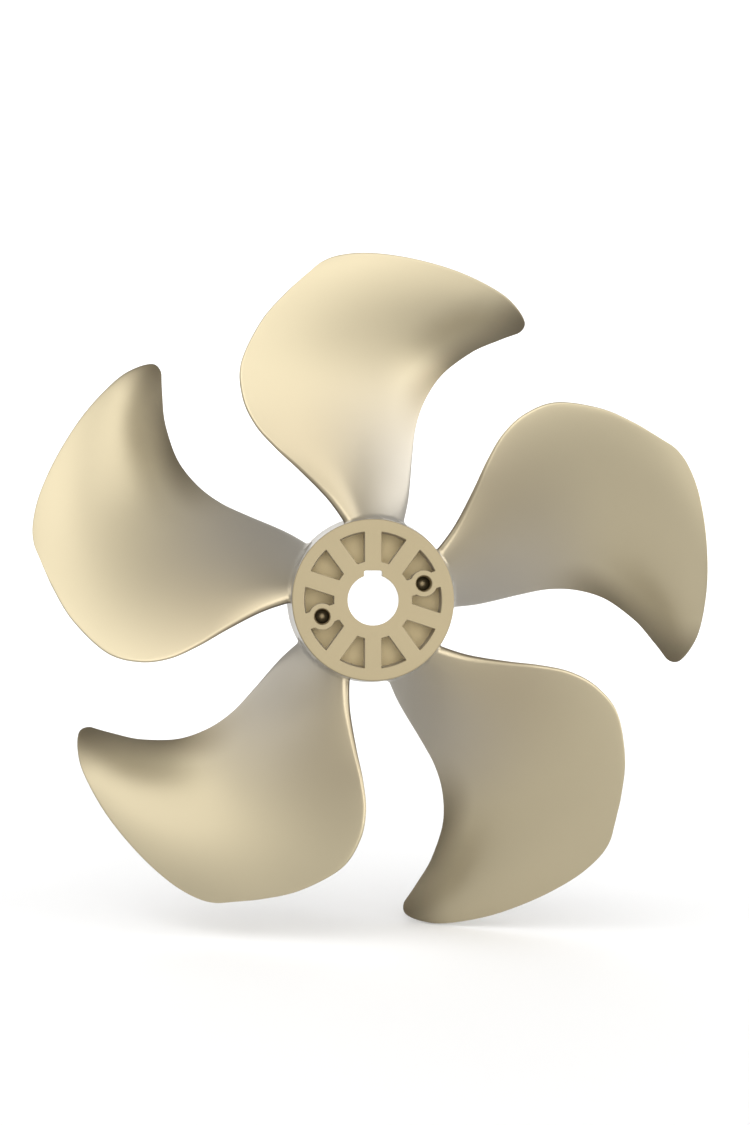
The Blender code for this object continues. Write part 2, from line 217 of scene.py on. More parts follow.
def makeHub():
    dropSelection()
    bpy.ops.mesh.primitive_cylinder_add(vertices=hub["segments"], radius=hub["frontRadius"], depth=hubLength,
                                        location=(0, (frontY + rearY) / 2, 0), rotation=(math.pi / 2, 0, 0))
    piece = settle(named("moulding"))
    selectEdges(piece, lambda a, b: abs(a.y - b.y) > hubLength / 2)
    bpy.ops.mesh.subdivide(number_cuts=hub["sideRings"])
    bpy.ops.object.mode_set(mode="OBJECT")
    for vert in piece.data.vertices:                # each ring takes the flare's radius
        wide = hubSideRadius(vert.co.y - frontY) / math.hypot(vert.co.x, vert.co.z)
        vert.co.x *= wide
        vert.co.z *= wide
    for plane, end in ((frontY, "front"), (rearY, "rear")):
        selectEdges(piece, lambda a, b: abs(a.y - plane) < planeGap and abs(b.y - plane) < planeGap)
        bpy.ops.mesh.bevel(offset=hub[f"{end}Round"], segments=hub[f"{end}RoundSteps"], affect="EDGES")
        bpy.ops.object.mode_set(mode="OBJECT")
    return piece


def pocketTool():                                   # one wedge, copied round between the ribs
    dropSelection()
    bpy.ops.mesh.primitive_grid_add(x_subdivisions=pockets["arcCuts"], y_subdivisions=1, size=2,
                                    location=(0, 0, 0), rotation=(math.pi / 2, 0, 0))
    wedge = settle(named("pocket"))
    half = math.pi / pockets["ribs"]
    for vert in wedge.data.vertices:
        outer = vert.co.z > 0
        radius = pockets["outerRadius"] if outer else pockets["innerRadius"]
        reach = half - math.asin(pockets["ribWidth"] / 2 / radius)
        turn = half + vert.co.x * reach
        vert.co = (radius * math.sin(turn), frontY - pockets["ahead"], radius * math.cos(turn))
    middle = sum((v.co for v in wedge.data.vertices), Vector()) / len(wedge.data.vertices)
    selectFaces(wedge, lambda centre, normal: True)
    run = pockets["depth"] + pockets["ahead"]
    bpy.ops.mesh.extrude_region_move(TRANSFORM_OT_translate={"value": (0, run, 0)})
    shrink = 1 - 2 * pockets["draft"] / (pockets["outerRadius"] - pockets["innerRadius"])
    bpy.ops.transform.resize(value=(shrink, 1, shrink), center_override=(middle.x, 0, middle.z))
    bpy.ops.mesh.select_all(action="SELECT")
    bpy.ops.mesh.normals_make_consistent(inside=False)
    bpy.ops.object.mode_set(mode="OBJECT")
    radii = (pockets["outerRadius"], pockets["innerRadius"])
    cornerTurns = [half - math.asin(pockets["ribWidth"] / 2 / radius) for radius in radii]
    longEdge = pockets["depth"] * 0.9

    def atCorner(a, b):                             # judged at the front end, before the draft
        front = min(a, b, key=lambda point: point.y)
        turn = abs(math.atan2(front.x, front.z) - half)
        return abs(a.y - b.y) > longEdge and min(abs(turn - t) for t in cornerTurns) < pockets["cornerReach"]

    selectEdges(wedge, atCorner)
    bpy.ops.mesh.bevel(offset=pockets["corner"], segments=3, affect="EDGES", clamp_overlap=True)
    bpy.ops.object.mode_set(mode="OBJECT")
    step = 360 / pockets["ribs"]
    wedges = [wedge] + [turned(copyOf(wedge, f"pocket{i}"), step * i) for i in range(1, pockets["ribs"])]
    back = frontY + pockets["depth"] + overshoot
    for angle in bosses["angles"].values():
        x, z = bossPlace(angle)
        for item in wedges:
            middle = sum((v.co for v in item.data.vertices), Vector()) / len(item.data.vertices)
            if (middle.xz - Vector((x, z))).length < 2 * bosses["radius"]:
                front = frontY - overshoot
                cutWith(item, roundPost("boss", bosses["radius"], front, back, x, z, bosses["segments"]))
    dropSelection()
    for item in wedges:
        item.select_set(True)
    bpy.context.view_layer.objects.active = wedge
    bpy.ops.object.join()
    return wedge


def bossPlace(angle):
    turn = math.radians(angle)
    return bosses["circleRadius"] * math.cos(turn), bosses["circleRadius"] * math.sin(turn)


def keywayTool():
    dropSelection()
    bpy.ops.mesh.primitive_cube_add(size=1, location=(0, (frontY + rearY) / 2, bore["keyTop"] / 2))
    bpy.context.object.scale = (bore["keyWidth"], hubLength + 2 * overshoot, bore["keyTop"])
    tool = settle(named("keyway"))
    top = bore["keyTop"]
    selectEdges(tool, lambda a, b: abs(a.y - b.y) > hubLength and a.z > top * 0.9)
    bpy.ops.mesh.bevel(offset=bore["keyCorner"], segments=4, affect="EDGES")
    bpy.ops.object.mode_set(mode="OBJECT")
    return tool


def cutHub(piece):
    front, back = frontY - overshoot, rearY + overshoot
    shaft = roundPost("bore", bore["radius"], front, back, 0, 0, bore["segments"])
    cutWith(shaft, keywayTool(), "UNION")
    cutWith(piece, shaft)
    cutWith(piece, pocketTool())
    for side, angle in bosses["angles"].items():
        x, z = bossPlace(angle)
        lowest = max(corner[1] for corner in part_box(f"puller_bush_{side}")) + bosses["holeGap"]
        cutWith(piece, roundPost("hole", bosses["holeRadius"], front, lowest, x, z, bosses["segments"]))
    for plane in (frontY, rearY):
        def onPlane(a, b):                          # the edges of the bore, pockets and holes in that face
            return max(abs(a.y - plane), abs(b.y - plane)) < planeGap and a.xz.length < 25 * mm

        roundSharp(piece, onPlane, hub["edgeRound"], 2)


# blades: a closed tube of rings, run from inside the hub to the outer edge

blade = {
    "count": 5,
    "rootRadius": 25.2 * mm,
    "tipRadius": 123.0 * mm,
    "leadingEdge": [(25.2, 18.5), (34.8, 23.0), (41.8, 26.0), (52.1, 30.0), (62.4, 33.0), (72.6, 34.2),
                    (82.8, 33.0), (93.2, 29.3), (103.6, 22.1), (110.9, 15.9), (116.3, 11.2)],
    "outerEdge": [(116.3, 11.2), (120.0, 8.4), (122.1, 5.0), (123.0, 0.0), (122.9, -7.0), (122.7, -15.0),
                  (122.1, -22.5), (120.8, -26.5), (118.1, -29.4), (114.0, -29.3), (111.2, -27.2)],
    "trailingEdge": [(25.2, -24.6), (36.3, -21.0), (43.6, -18.5), (54.6, -15.5), (65.6, -13.9), (76.7, -14.4),
                     (87.8, -16.7), (98.6, -21.0), (106.1, -24.8), (111.2, -27.2)],
    "sections": [                                   # radius, middle and half angle, depth, arm, camber, curl
        (25.0, -3.1, 21.4, 16.4, 34.0, 0.8, -0.6),
        (40.0, 3.2, 22.4, 15.5, 36.0, 1.0, -0.7),
        (55.0, 7.5, 23.0, 14.3, 39.5, 1.4, -0.8),
        (70.0, 10.1, 24.0, 13.2, 43.5, 1.5, -1.0),
        (85.0, 8.4, 24.6, 13.7, 46.0, 1.6, -0.8),
        (100.0, 1.2, 23.8, 17.0, 45.5, 1.8, 0.2),
        (112.0, -6.8, 22.0, 20.9, 44.0, 2.2, 1.2),
        (123.0, -11.5, 19.9, 23.4, 42.5, 3.0, 1.2),
    ],
    "rollDepth": 4.2 * mm,                          # the trailing edge rolls back near the tip
    "rollStartRadius": 60.0 * mm,
    "rollFullRadius": 110.0 * mm,
    "rollStart": 0.4,
    "brimDepth": 3.1 * mm,                          # the leading edge rolls back near the hub
    "brimEndRadius": 62.0 * mm,
    "brimStart": 0.4,
    "rootThickness": 5.4 * mm,
    "tipThickness": 1.7 * mm,
    "thinning": 0.8,                                # power of the share of the span
    "edgeHalf": 0.55 * mm,
    "noseHalf": 2.2 * mm,                           # the leading edge is thick and round near the hub
    "noseEndRadius": 72.0 * mm,
    "nosePower": 1.5,
    "fillet": 1.2 * mm,
    "filletReach": 9.0 * mm,                        # the rows are closer up to here
    "skinInset": 0.1 * mm,                          # these two keep the skin just inside the solid's
    "outlineInset": 0.2 * mm,
    "chordColumns": 60,
    "spanRows": 84,
    "filletRows": 14,
    "edgeSteps": 5,
    "smoothAngle": 40,
}


def planePoint(radius, angle):                      # polar mm and degrees to metres across and up
    turn = math.radians(angle)
    return Vector((-radius * mm * math.sin(turn), radius * mm * math.cos(turn)))


bladeLines = {key: [planePoint(*place) for place in blade[key]]
              for key in ("leadingEdge", "outerEdge", "trailingEdge")}


def alongLine(points, share):                       # Catmull-Rom line through the points
    spans = len(points) - 1
    place = min(max(share, 0), 1) * spans
    i = min(int(place), spans - 1)
    t = place - i
    b, c = points[i], points[i + 1]
    a = points[i - 1] if i > 0 else b * 2 - c
    d = points[i + 2] if i + 2 <= spans else c * 2 - b
    bowed = b * 2 + (c - a) * t + (a * 2 - b * 5 + c * 4 - d) * t ** 2
    return 0.5 * (bowed + (b * 3 - a - c * 3 + d) * t ** 3)


def patchPoint(u, v):                               # u goes from leading to trailing edge, v from root to tip
    leading, outer, trailing = (bladeLines[key] for key in ("leadingEdge", "outerEdge", "trailingEdge"))
    start, end = (math.radians(blade[key][0][1]) for key in ("leadingEdge", "trailingEdge"))
    turn = start + (end - start) * u
    root = Vector((-blade["rootRadius"] * math.sin(turn), blade["rootRadius"] * math.cos(turn)))
    sides = alongLine(leading, v).lerp(alongLine(trailing, v), u) + root.lerp(alongLine(outer, u), v)
    return sides - leading[0].lerp(trailing[0], u).lerp(outer[0].lerp(outer[-1], u), v)


def spanShare(radius):
    return (radius - blade["rootRadius"]) / (blade["tipRadius"] - blade["rootRadius"])


def fitSections():                                  # one smooth polynomial for each column of the table
    table = numpy.array(blade["sections"])
    shares = [spanShare(radius * mm) for radius in table[:, 0]]
    return [list(numpy.polyfit(shares, column, 5)) for column in table[:, 1:].T]


sectionCurves = fitSections()


def sectionAt(radius):
    share = spanShare(radius)
    values = []
    for curve in sectionCurves:
        value = 0.0
        for factor in curve:
            value = value * share + factor
        values.append(value)
    return values


def eased(share):
    share = min(max(share, 0), 1)
    return share * share * (3 - 2 * share)


def rollDepth(radius, place):                       # place is -1 at the trailing edge, 1 at the leading edge
    grown = eased((radius - blade["rollStartRadius"]) / (blade["rollFullRadius"] - blade["rollStartRadius"]))
    return blade["rollDepth"] * grown * max((-place - blade["rollStart"]) / (1 - blade["rollStart"]), 0) ** 2


def brimDepth(radius, place):
    grown = eased((blade["brimEndRadius"] - radius) / (blade["brimEndRadius"] - hub["frontRadius"]))
    return blade["brimDepth"] * grown * max((place - blade["brimStart"]) / (1 - blade["brimStart"]), 0) ** 2


def bladeDepth(x, z):                               # of the middle surface, behind the pocketed face
    radius = math.hypot(x, z)
    middle, half, depth, arm, camber, curl = sectionAt(radius)
    turn = math.atan2(-x, z) - math.radians(middle)
    place = turn / math.radians(half)
    rolls = rollDepth(radius, place) + brimDepth(radius, place)
    return (depth - arm * turn + camber * place ** 2 - curl * place ** 3) * mm + rolls


def surfacePoint(x, z):
    return Vector((x, frontY + bladeDepth(x, z), z))


def surfaceNormal(x, z):                            # on the side that looks to the front
    step = 0.2 * mm
    across = surfacePoint(x + step, z) - surfacePoint(x - step, z)
    upward = surfacePoint(x, z + step) - surfacePoint(x, z - step)
    return across.cross(upward).normalized()


def filletGrowth(radius, depth):                    # how far the fillet at the hub widens the blade
    height = max(radius - hubSideRadius(depth), 0)
    size = blade["fillet"]
    return size - math.sqrt(size ** 2 - (size - height) ** 2) if height < size else 0


def noseHalf(radius):
    left = 1 - min(max((radius - hub["frontRadius"]) / (blade["noseEndRadius"] - hub["frontRadius"]), 0), 1)
    return blade["edgeHalf"] + (blade["noseHalf"] - blade["edgeHalf"]) * left ** blade["nosePower"]


def halfThickness(u, radius):
    share = min(max(spanShare(radius), 0), 1)
    root, tip = blade["rootThickness"], blade["tipThickness"]
    full = root + (tip - root) * share ** blade["thinning"]
    edge = noseHalf(radius) + (blade["edgeHalf"] - noseHalf(radius)) * u
    crown = math.sqrt(max(math.sin(math.pi * min(max(u, 0), 1)), 0))
    return edge + (full / 2 - edge) * crown


def roundedEdge(size, length):                      # places and thickness shares over an edge's rounding
    steps = [math.pi / 2 * i / blade["edgeSteps"] for i in range(blade["edgeSteps"])]
    return [(size * (1 - math.cos(angle)) / length, math.sin(angle)) for angle in steps]


def chordPlaces(radius, length):
    nose = noseHalf(radius)
    inset = blade["outlineInset"] / length
    start = nose / length
    end = 1 - blade["edgeHalf"] / length
    places = roundedEdge(nose, length)
    for i in range(blade["chordColumns"] + 1):
        share = i / blade["chordColumns"]
        places.append((start + (end - start) * (share + 0.5 - 0.5 * math.cos(math.pi * share)) / 2, 1))
    places += [(1 - place, thick) for place, thick in reversed(roundedEdge(blade["edgeHalf"], length))]
    return [(inset + place * (1 - 2 * inset), thick) for place, thick in places]


def spanPlaces():
    length = blade["tipRadius"] - blade["rootRadius"]
    first = blade["filletReach"] / length
    rows = [(first * i / blade["filletRows"], 1) for i in range(blade["filletRows"])]
    last = 1 - blade["edgeHalf"] / length
    for i in range(blade["spanRows"] + 1):
        share = i / blade["spanRows"]
        rows.append((first + (last - first) * (0.6 * share + 0.4 * math.sin(share * math.pi / 2)), 1))
    rows += [(1 - place, thick) for place, thick in reversed(roundedEdge(blade["edgeHalf"], length))]
    return [(place * (1 - blade["outlineInset"] / length), thick) for place, thick in rows]


def bladeRing(v, thick):                            # front from leading to trailing edge, then the back
    leading = patchPoint(0, v)
    chord = (leading - patchPoint(1, v)).length
    front, back = [], []
    for u, share in chordPlaces(leading.length, chord):
        flat = patchPoint(u, v)
        middle = surfacePoint(flat.x, flat.y)
        normal = surfaceNormal(flat.x, flat.y)
        growth = filletGrowth(flat.length, middle.y - frontY)
        if growth > 0:
            nudge = 0.01
            along = patchPoint(min(u + nudge, 1), v) - patchPoint(max(u - nudge, 0), v)
            run = (surfacePoint(flat.x + along.x, flat.y + along.y) - middle).normalized()
            middle += run * growth * (2 * u - 1) ** 3
        reach = (halfThickness(u, flat.length) + growth - blade["skinInset"]) * share * thick
        front.append(middle + normal * reach)
        back.append(middle - normal * reach)
    return front + back[-2:0:-1]


def makeBlade():
    rings = [bladeRing(v, thick) for v, thick in spanPlaces()]
    around = len(rings[0])
    dropSelection()
    bpy.ops.mesh.primitive_cylinder_add(vertices=around, radius=1, depth=1, end_fill_type="NOTHING",
                                        location=(0, 0, 0.5))
    piece = settle(named("blade"))
    selectEdges(piece, lambda a, b: abs(a.z - b.z) > 0.5)
    bpy.ops.mesh.subdivide(number_cuts=len(rings) - 2)
    bpy.ops.object.mode_set(mode="OBJECT")
    for vert in piece.data.vertices:                # each point of the tube goes to its place on its ring
        row = round(vert.co.z * (len(rings) - 1))
        column = round(math.atan2(vert.co.y, vert.co.x) / (2 * math.pi) * around) % around
        vert.co = rings[row][column]
    selectFaces(piece, lambda centre, normal: True)
    bpy.ops.mesh.remove_doubles(threshold=mergeGap)
    bpy.ops.mesh.select_mode(type="EDGE")
    bpy.ops.mesh.select_all(action="DESELECT")
    bpy.ops.mesh.select_non_manifold()
    bpy.ops.mesh.edge_face_add()                    # closes the root, inside the hub
    bpy.ops.mesh.select_all(action="SELECT")
    bpy.ops.mesh.normals_make_consistent(inside=False)
    bpy.ops.object.mode_set(mode="OBJECT")
    return piece


def makeMoulding():
    piece = makeHub()
    cutHub(piece)
    print("hub cut")
    first = makeBlade()
    step = 360 / blade["count"]
    blades = [first] + [turned(copyOf(first, f"blade{i}"), step * i) for i in range(1, blade["count"])]
    for item in blades:
        cutWith(piece, item, "UNION")
    selectFaces(piece, lambda centre, normal: True)
    bpy.ops.mesh.remove_doubles(threshold=mergeGap)
    bpy.ops.object.mode_set(mode="OBJECT")
    bpy.ops.object.shade_smooth_by_angle(angle=math.radians(blade["smoothAngle"]))

    def isFlat(centre, normal):                     # the hub's two faces and the pockets' floors
        return abs(normal.y) > hub["flatNormal"] and centre.xz.length < hub["rearRadius"]

    selectFaces(piece, isFlat)
    bpy.ops.mesh.faces_shade_flat()
    bpy.ops.object.mode_set(mode="OBJECT")
    print("moulding joined:", len(piece.data.polygons), "faces")
    return piece


# puller bushes: blind threaded sleeves with a domed floor

bush = {
    "outerRadius": 3.3 * mm,
    "boreRadius": 2.5 * mm,
    "threadRadius": 2.92 * mm,
    "pitch": 1.0 * mm,
    "threads": 6,
    "chamfer": 0.25 * mm,
    "floor": 1.2 * mm,
    "domeHeight": 1.3 * mm,
    "domeSteps": 10,
    "segments": 64,
    "smoothAngle": 35,
    "centreDot": mm / 100,                          # the profile's ends stop this near the axis
}


def bushProfile(length):                            # radius and depth, up the outside and down the bore
    outer, inner, crest = bush["outerRadius"], bush["boreRadius"], bush["threadRadius"]
    chamfer, dot = bush["chamfer"], bush["centreDot"]
    profile = [(dot, length), (outer - chamfer, length), (outer, length - chamfer), (outer, 0), (crest, 0)]
    for i in range(bush["threads"]):
        start = chamfer + bush["pitch"] * i
        for radius, share in ((inner, 0.1), (inner, 0.3), (crest, 0.6), (crest, 0.8)):
            profile.append((radius, start + bush["pitch"] * share))
    base = length - bush["floor"]
    profile.append((inner, chamfer + bush["pitch"] * (bush["threads"] + 0.1)))
    for i in range(bush["domeSteps"] + 1):
        angle = math.pi / 2 * i / bush["domeSteps"]
        profile.append((max(inner * math.cos(angle), dot), base - bush["domeHeight"] * math.sin(angle)))
    return profile


def makeBush(side):                                 # a small disc, drawn on ring by ring along the profile
    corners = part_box(f"puller_bush_{side}")
    front, back = (pickEnd(corner[1] for corner in corners) for pickEnd in (min, max))
    x, z = bossPlace(bosses["angles"][side])
    profile = bushProfile(back - front)
    radius, depth = profile[0]
    dropSelection()
    bpy.ops.mesh.primitive_circle_add(vertices=bush["segments"], radius=radius, fill_type="NGON",
                                      location=(x, front + depth, z), rotation=(math.pi / 2, 0, 0))
    piece = settle(named(f"bush{side.capitalize()}"))
    selectFaces(piece, lambda centre, normal: True)
    for nextRadius, nextDepth in profile[1:]:
        bpy.ops.mesh.extrude_region_move(TRANSFORM_OT_translate={"value": (0, nextDepth - depth, 0)})
        grow = nextRadius / radius
        bpy.ops.transform.resize(value=(grow, 1, grow), center_override=(x, front + nextDepth, z))
        radius, depth = nextRadius, nextDepth
    bpy.ops.mesh.select_all(action="SELECT")
    bpy.ops.mesh.normals_make_consistent(inside=False)
    bpy.ops.object.mode_set(mode="OBJECT")
    bpy.ops.object.shade_smooth_by_angle(angle=math.radians(bush["smoothAngle"]))
    return piece


# finishes

class Wire:                                         # a socket that can be added, multiplied and so on
    def __init__(self, finish, socket):
        self.finish, self.socket = finish, socket

    def maths(self, operation, first, second):
        return self.finish.maths(operation, first, second)

    def __add__(self, other):
        return self.maths("ADD", self, other)

    def __sub__(self, other):
        return self.maths("SUBTRACT", self, other)

    def __rsub__(self, other):
        return self.maths("SUBTRACT", other, self)

    def __mul__(self, other):
        return self.maths("MULTIPLY", self, other)

    __radd__ = __add__
    __rmul__ = __mul__


class Finish:                                       # one material and its Principled shader
    def __init__(self, name, **values):
        self.material = bpy.data.materials.new(name)
        self.material.use_nodes = True
        self.tree = self.material.node_tree
        self.shader = self.tree.nodes["Principled BSDF"]
        for key, value in values.items():
            self.shader.inputs[key.replace("_", " ")].default_value = value

    def node(self, kind, settings, values, output=0):
        made = self.tree.nodes.new(kind)
        for key, value in settings.items():
            setattr(made, key, value)
        for key, value in values.items():
            self.feed(made.inputs[key], value)
        return Wire(self, made.outputs[output])

    def maths(self, operation, first, second):
        return self.node("ShaderNodeMath", {"operation": operation}, {0: first, 1: second})

    def feed(self, socket, value):
        if isinstance(value, Wire):
            self.tree.links.new(value.socket, socket)
        else:
            socket.default_value = value

    def link(self, key, value):
        self.feed(self.shader.inputs[key], value)

    def objectPlace(self):
        return self.node("ShaderNodeTexCoord", {}, {}, "Object")

    def axis(self, name):
        return self.node("ShaderNodeSeparateXYZ", {}, {0: self.objectPlace()}, name)

    def noise(self, scale, detail, roughness):
        values = {"Vector": self.objectPlace(), "Scale": scale, "Detail": detail, "Roughness": roughness}
        return self.node("ShaderNodeTexNoise", {}, values)

    def below(self, wire, limit):                   # 1 where the value is under the limit
        return self.maths("LESS_THAN", wire, limit)

    def ramp(self, wire, start, end):               # rises softly from 0 at the start to 1 at the end
        values = {0: wire, 1: start, 2: end}
        return self.node("ShaderNodeMapRange", {"interpolation_type": "SMOOTHSTEP"}, values)

    def blend(self, factor, first, second):
        return self.node("ShaderNodeMix", {"data_type": "RGBA"}, {0: factor, 6: first, 7: second}, 2)

    def bump(self, height, strength, distance):
        return self.node("ShaderNodeBump", {}, {"Strength": strength, "Distance": distance, "Height": height})


champagne = {
    "outer": (0.394, 0.341, 0.229, 1),                # the gold of the outer half
    "inner": (0.34, 0.29, 0.196, 1),
    "paintedGreyReflection": (0.34, 0.314, 0.267, 1),              # painted reflection: greyer near the hub and on its side
    "paintedTrailingShade": (0.13, 0.105, 0.062, 1),                # painted shade on the trailing rim and tip
    "paintedLeadingShade": (0.085, 0.06, 0.03, 1),                # painted shade: a dark line on the leading edge near the hub
    "hubFace": (0.30, 0.25, 0.154, 1),
    # painted shade: a deeper brown on the pocket walls
    "shadedPocketWall": (0.34, 0.255, 0.085, 1),
    # painted light: the pocket floors lighter than the face, against their shade
    "paintedLightPocketFloor": (0.475, 0.40, 0.248, 1),
    # the bore and keyway, near white and smoother
    "paleBore": (0.95, 0.94, 0.92, 1),
    "metallic": 0.85,
    "roughness": 0.34,
    "cloudRoughness": 0.05,
    "grainRoughness": 0.03,
    "faceRoughness": 0.24,                          # the pocketed face is this much rougher
    "boreSmoothness": 0.37,
    "sheen": 0.27,
    "sheenRoughness": 0.5,
    "bumpStrength": 0.06,
    "bumpDepth": 0.05 * mm,
    "goldRadii": (55 * mm, 92 * mm),                # from inner to outer gold
    "paintedGreyReflectionRadii": (95 * mm, 45 * mm),              # from none to full
    "paintedGreyReflectionTurns": (24, -18),                       # degrees on the blade, from none to full
    "paintedTrailingShadeRadii": (58 * mm, 92 * mm),
    "paintedTrailingShadeWidths": (8, -1),                          # degrees from the trailing edge, from none to full
    "trailingRadii": (72 * mm, 115 * mm),           # the trailing edge sweeps back between these
    "trailingTurns": (-14, -29),
    "leadingRadii": (-5 * mm, 76 * mm),             # as for the trailing edge, but this edge sweeps forward
    "leadingTurns": (11.3, 34.9),
    "paintedLeadingShadeRadii": (66 * mm, 34 * mm),
    "paintedLeadingShadeWidths": (1.8, 0.1),
    "pocketMargin": 1 * mm,                         # round the pockets, and behind their floors
    "floorMargin": 0.5 * mm,
    "floorSkin": 0.3 * mm,                          # deeper than the floor less this is the floor
    "rimMargins": (0.3 * mm, 0.2 * mm),             # outside the hub's front edge, and behind its rounding
    "faceSkin": 0.1 * mm,                           # deeper than this is behind the face
    "boreZone": 11.5 * mm,                          # radius that takes in the bore and the keyway
    "rootWidths": (0.1 * mm, 0.9 * mm),             # off the hub's side, the blades' own tints fade in
    "cloudScale": 38,
    "grainScale": 2600,
}


def bladeTurn(finish):                              # degrees from the centre line of the nearest blade
    step = 360 / blade["count"]
    around = finish.maths("ARCTAN2", 0 - finish.axis("X"), finish.axis("Z")) * (180 / math.pi)
    return finish.maths("FLOORED_MODULO", around + step / 2, step) - step / 2


def edgeShare(finish, radius, turn, edge, tint):    # 1 on that edge and at the tint's radii, 0 further in; it places painted shade along an edge
    first, last = champagne[f"{edge}Turns"]
    edgeTurn = first + (last - first) * finish.ramp(radius, *champagne[f"{edge}Radii"])
    inwards = turn - edgeTurn if edge == "trailing" else edgeTurn - turn
    return finish.ramp(inwards, *champagne[f"{tint}Widths"]) * finish.ramp(radius, *champagne[f"{tint}Radii"])


def shaftDistance(finish):
    place = {0: finish.objectPlace(), 1: (1, 0, 1)}
    flat = finish.node("ShaderNodeVectorMath", {"operation": "MULTIPLY"}, place)
    return finish.node("ShaderNodeVectorMath", {"operation": "LENGTH"}, {0: flat}, "Value")


def hubShares(finish, radius, depth):               # where the hub's own tints lie, with painted shade on the pocket walls and painted light on their floors
    rimOut, rimBehind = champagne["rimMargins"]
    ribbed = finish.below(radius, pockets["outerRadius"] + champagne["pocketMargin"])
    ribbed *= finish.below(depth, pockets["depth"] + champagne["floorMargin"])
    rim = finish.below(radius, hub["frontRadius"] + rimOut)
    rim *= finish.below(depth, hub["frontRound"] + rimBehind)
    behind = 1 - finish.below(depth, champagne["faceSkin"])
    # sunk marks the pocket walls, which take a painted shade
    sunk = ribbed * behind
    # onFloor marks the pocket floors, which take a painted light
    onFloor = sunk * (1 - finish.below(depth, pockets["depth"] - champagne["floorSkin"]))
    inBore = behind * finish.below(depth, hubLength - champagne["faceSkin"])
    inBore *= finish.below(radius, champagne["boreZone"])
    return {"hubFace": finish.maths("MAXIMUM", ribbed, rim), "shadedPocketWall": sunk, "paintedLightPocketFloor": onFloor,
            "paleBore": inBore}


def bladeShares(finish, radius, depth):             # and the blades', which end at the hub's flared side: painted reflection and painted shade
    turn = bladeTurn(finish)
    along = depth * (1 / hubLength)
    side = hub["frontRadius"] + along * along * (hub["rearRadius"] - hub["frontRadius"])
    offHub = finish.ramp(radius - side, *champagne["rootWidths"])
    # painted reflection: a greyer tint near the hub and over the hub's side
    paintedGreyReflection = finish.ramp(radius, *champagne["paintedGreyReflectionRadii"]) * finish.ramp(turn, *champagne["paintedGreyReflectionTurns"])
    return {"paintedGreyReflection": finish.maths("MAXIMUM", paintedGreyReflection, 1 - offHub),
            # painted shade along the trailing edge towards the tip
            "paintedTrailingShade": edgeShare(finish, radius, turn, "trailing", "paintedTrailingShade"),
            # painted shade on the leading edge's rounded nose near the hub
            "paintedLeadingShade": edgeShare(finish, radius, turn, "leading", "paintedLeadingShade") * offHub}


def champagneFinish():
    finish = Finish("champagneSatin", Metallic=champagne["metallic"], Sheen_Weight=champagne["sheen"],
                    Sheen_Roughness=champagne["sheenRoughness"])
    clouds = finish.noise(champagne["cloudScale"], 3, 0.55)
    grain = finish.noise(champagne["grainScale"], 2, 0.6)
    radius = shaftDistance(finish)
    depth = finish.axis("Y") - frontY
    shares = bladeShares(finish, radius, depth) | hubShares(finish, radius, depth)
    outwards = finish.ramp(radius, *champagne["goldRadii"])
    colour = finish.blend(outwards, champagne["inner"], champagne["outer"])
    for key, share in shares.items():               # each tint covers those before it
        colour = finish.blend(share, colour, champagne[key])
    finish.link("Base Color", colour)
    rough = champagne["roughness"] + clouds * champagne["cloudRoughness"]
    rough += grain * champagne["grainRoughness"] + shares["hubFace"] * champagne["faceRoughness"]
    finish.link("Roughness", rough - shares["paleBore"] * champagne["boreSmoothness"])
    finish.link("Normal", finish.bump(grain, champagne["bumpStrength"], champagne["bumpDepth"]))
    return finish.material


darkBronze = {
    "colour": (0.13, 0.096, 0.045, 1),
    "worn": (0.19, 0.145, 0.075, 1),
    "metallic": 0.6,
    "roughness": 0.28,
    "filmRoughness": 0.15,
    "filmScale": 900,
}


def darkBronzeFinish():
    finish = Finish("darkBronze", Metallic=darkBronze["metallic"])
    film = finish.noise(darkBronze["filmScale"], 4, 0.6)
    finish.link("Base Color", finish.blend(film, darkBronze["colour"], darkBronze["worn"]))
    finish.link("Roughness", darkBronze["roughness"] + film * darkBronze["filmRoughness"])
    return finish.material


# studio

studio = {
    "focalPixels": 1720,                            # distance to the hub's face in picture pixels
    "pixelSize": 0.3455 * mm,                       # size of a picture pixel at the hub's face
    "pictureWidth": 750,
    "pictureHeight": 1125,
    "hubPixel": (373.1, 600.1),
    "cameraLeft": 1.9,                              # degrees from the shaft's axis
    "cameraAbove": 0.5,
    "sensor": 36,                                   # in millimetres, as the camera's lens is
    "clipStart": 0.01,
}


def aimCamera():
    distance = studio["focalPixels"] * studio["pixelSize"]
    left, above = (math.radians(studio[key]) for key in ("cameraLeft", "cameraAbove"))
    centre = Vector((0, frontY, 0))
    place = centre + Vector((-math.tan(left), -1, math.tan(above))) * distance
    dropSelection()
    bpy.ops.object.camera_add(location=place, rotation=(math.pi / 2, 0, 0))
    camera = bpy.context.object
    camera.name = "studioCamera"
    camera.data.sensor_fit = "VERTICAL"
    camera.data.sensor_height = studio["sensor"]
    camera.data.lens = studio["sensor"] * studio["focalPixels"] / studio["pictureHeight"]
    camera.rotation_euler = (math.pi / 2 - above, 0, -left)
    x, y = studio["hubPixel"]
    longSide = studio["pictureHeight"]
    camera.data.shift_x = (studio["pictureWidth"] / 2 - x) / longSide
    camera.data.shift_y = (y - studio["pictureHeight"] / 2) / longSide
    camera.data.clip_start = studio["clipStart"]
    bpy.context.scene.camera = camera


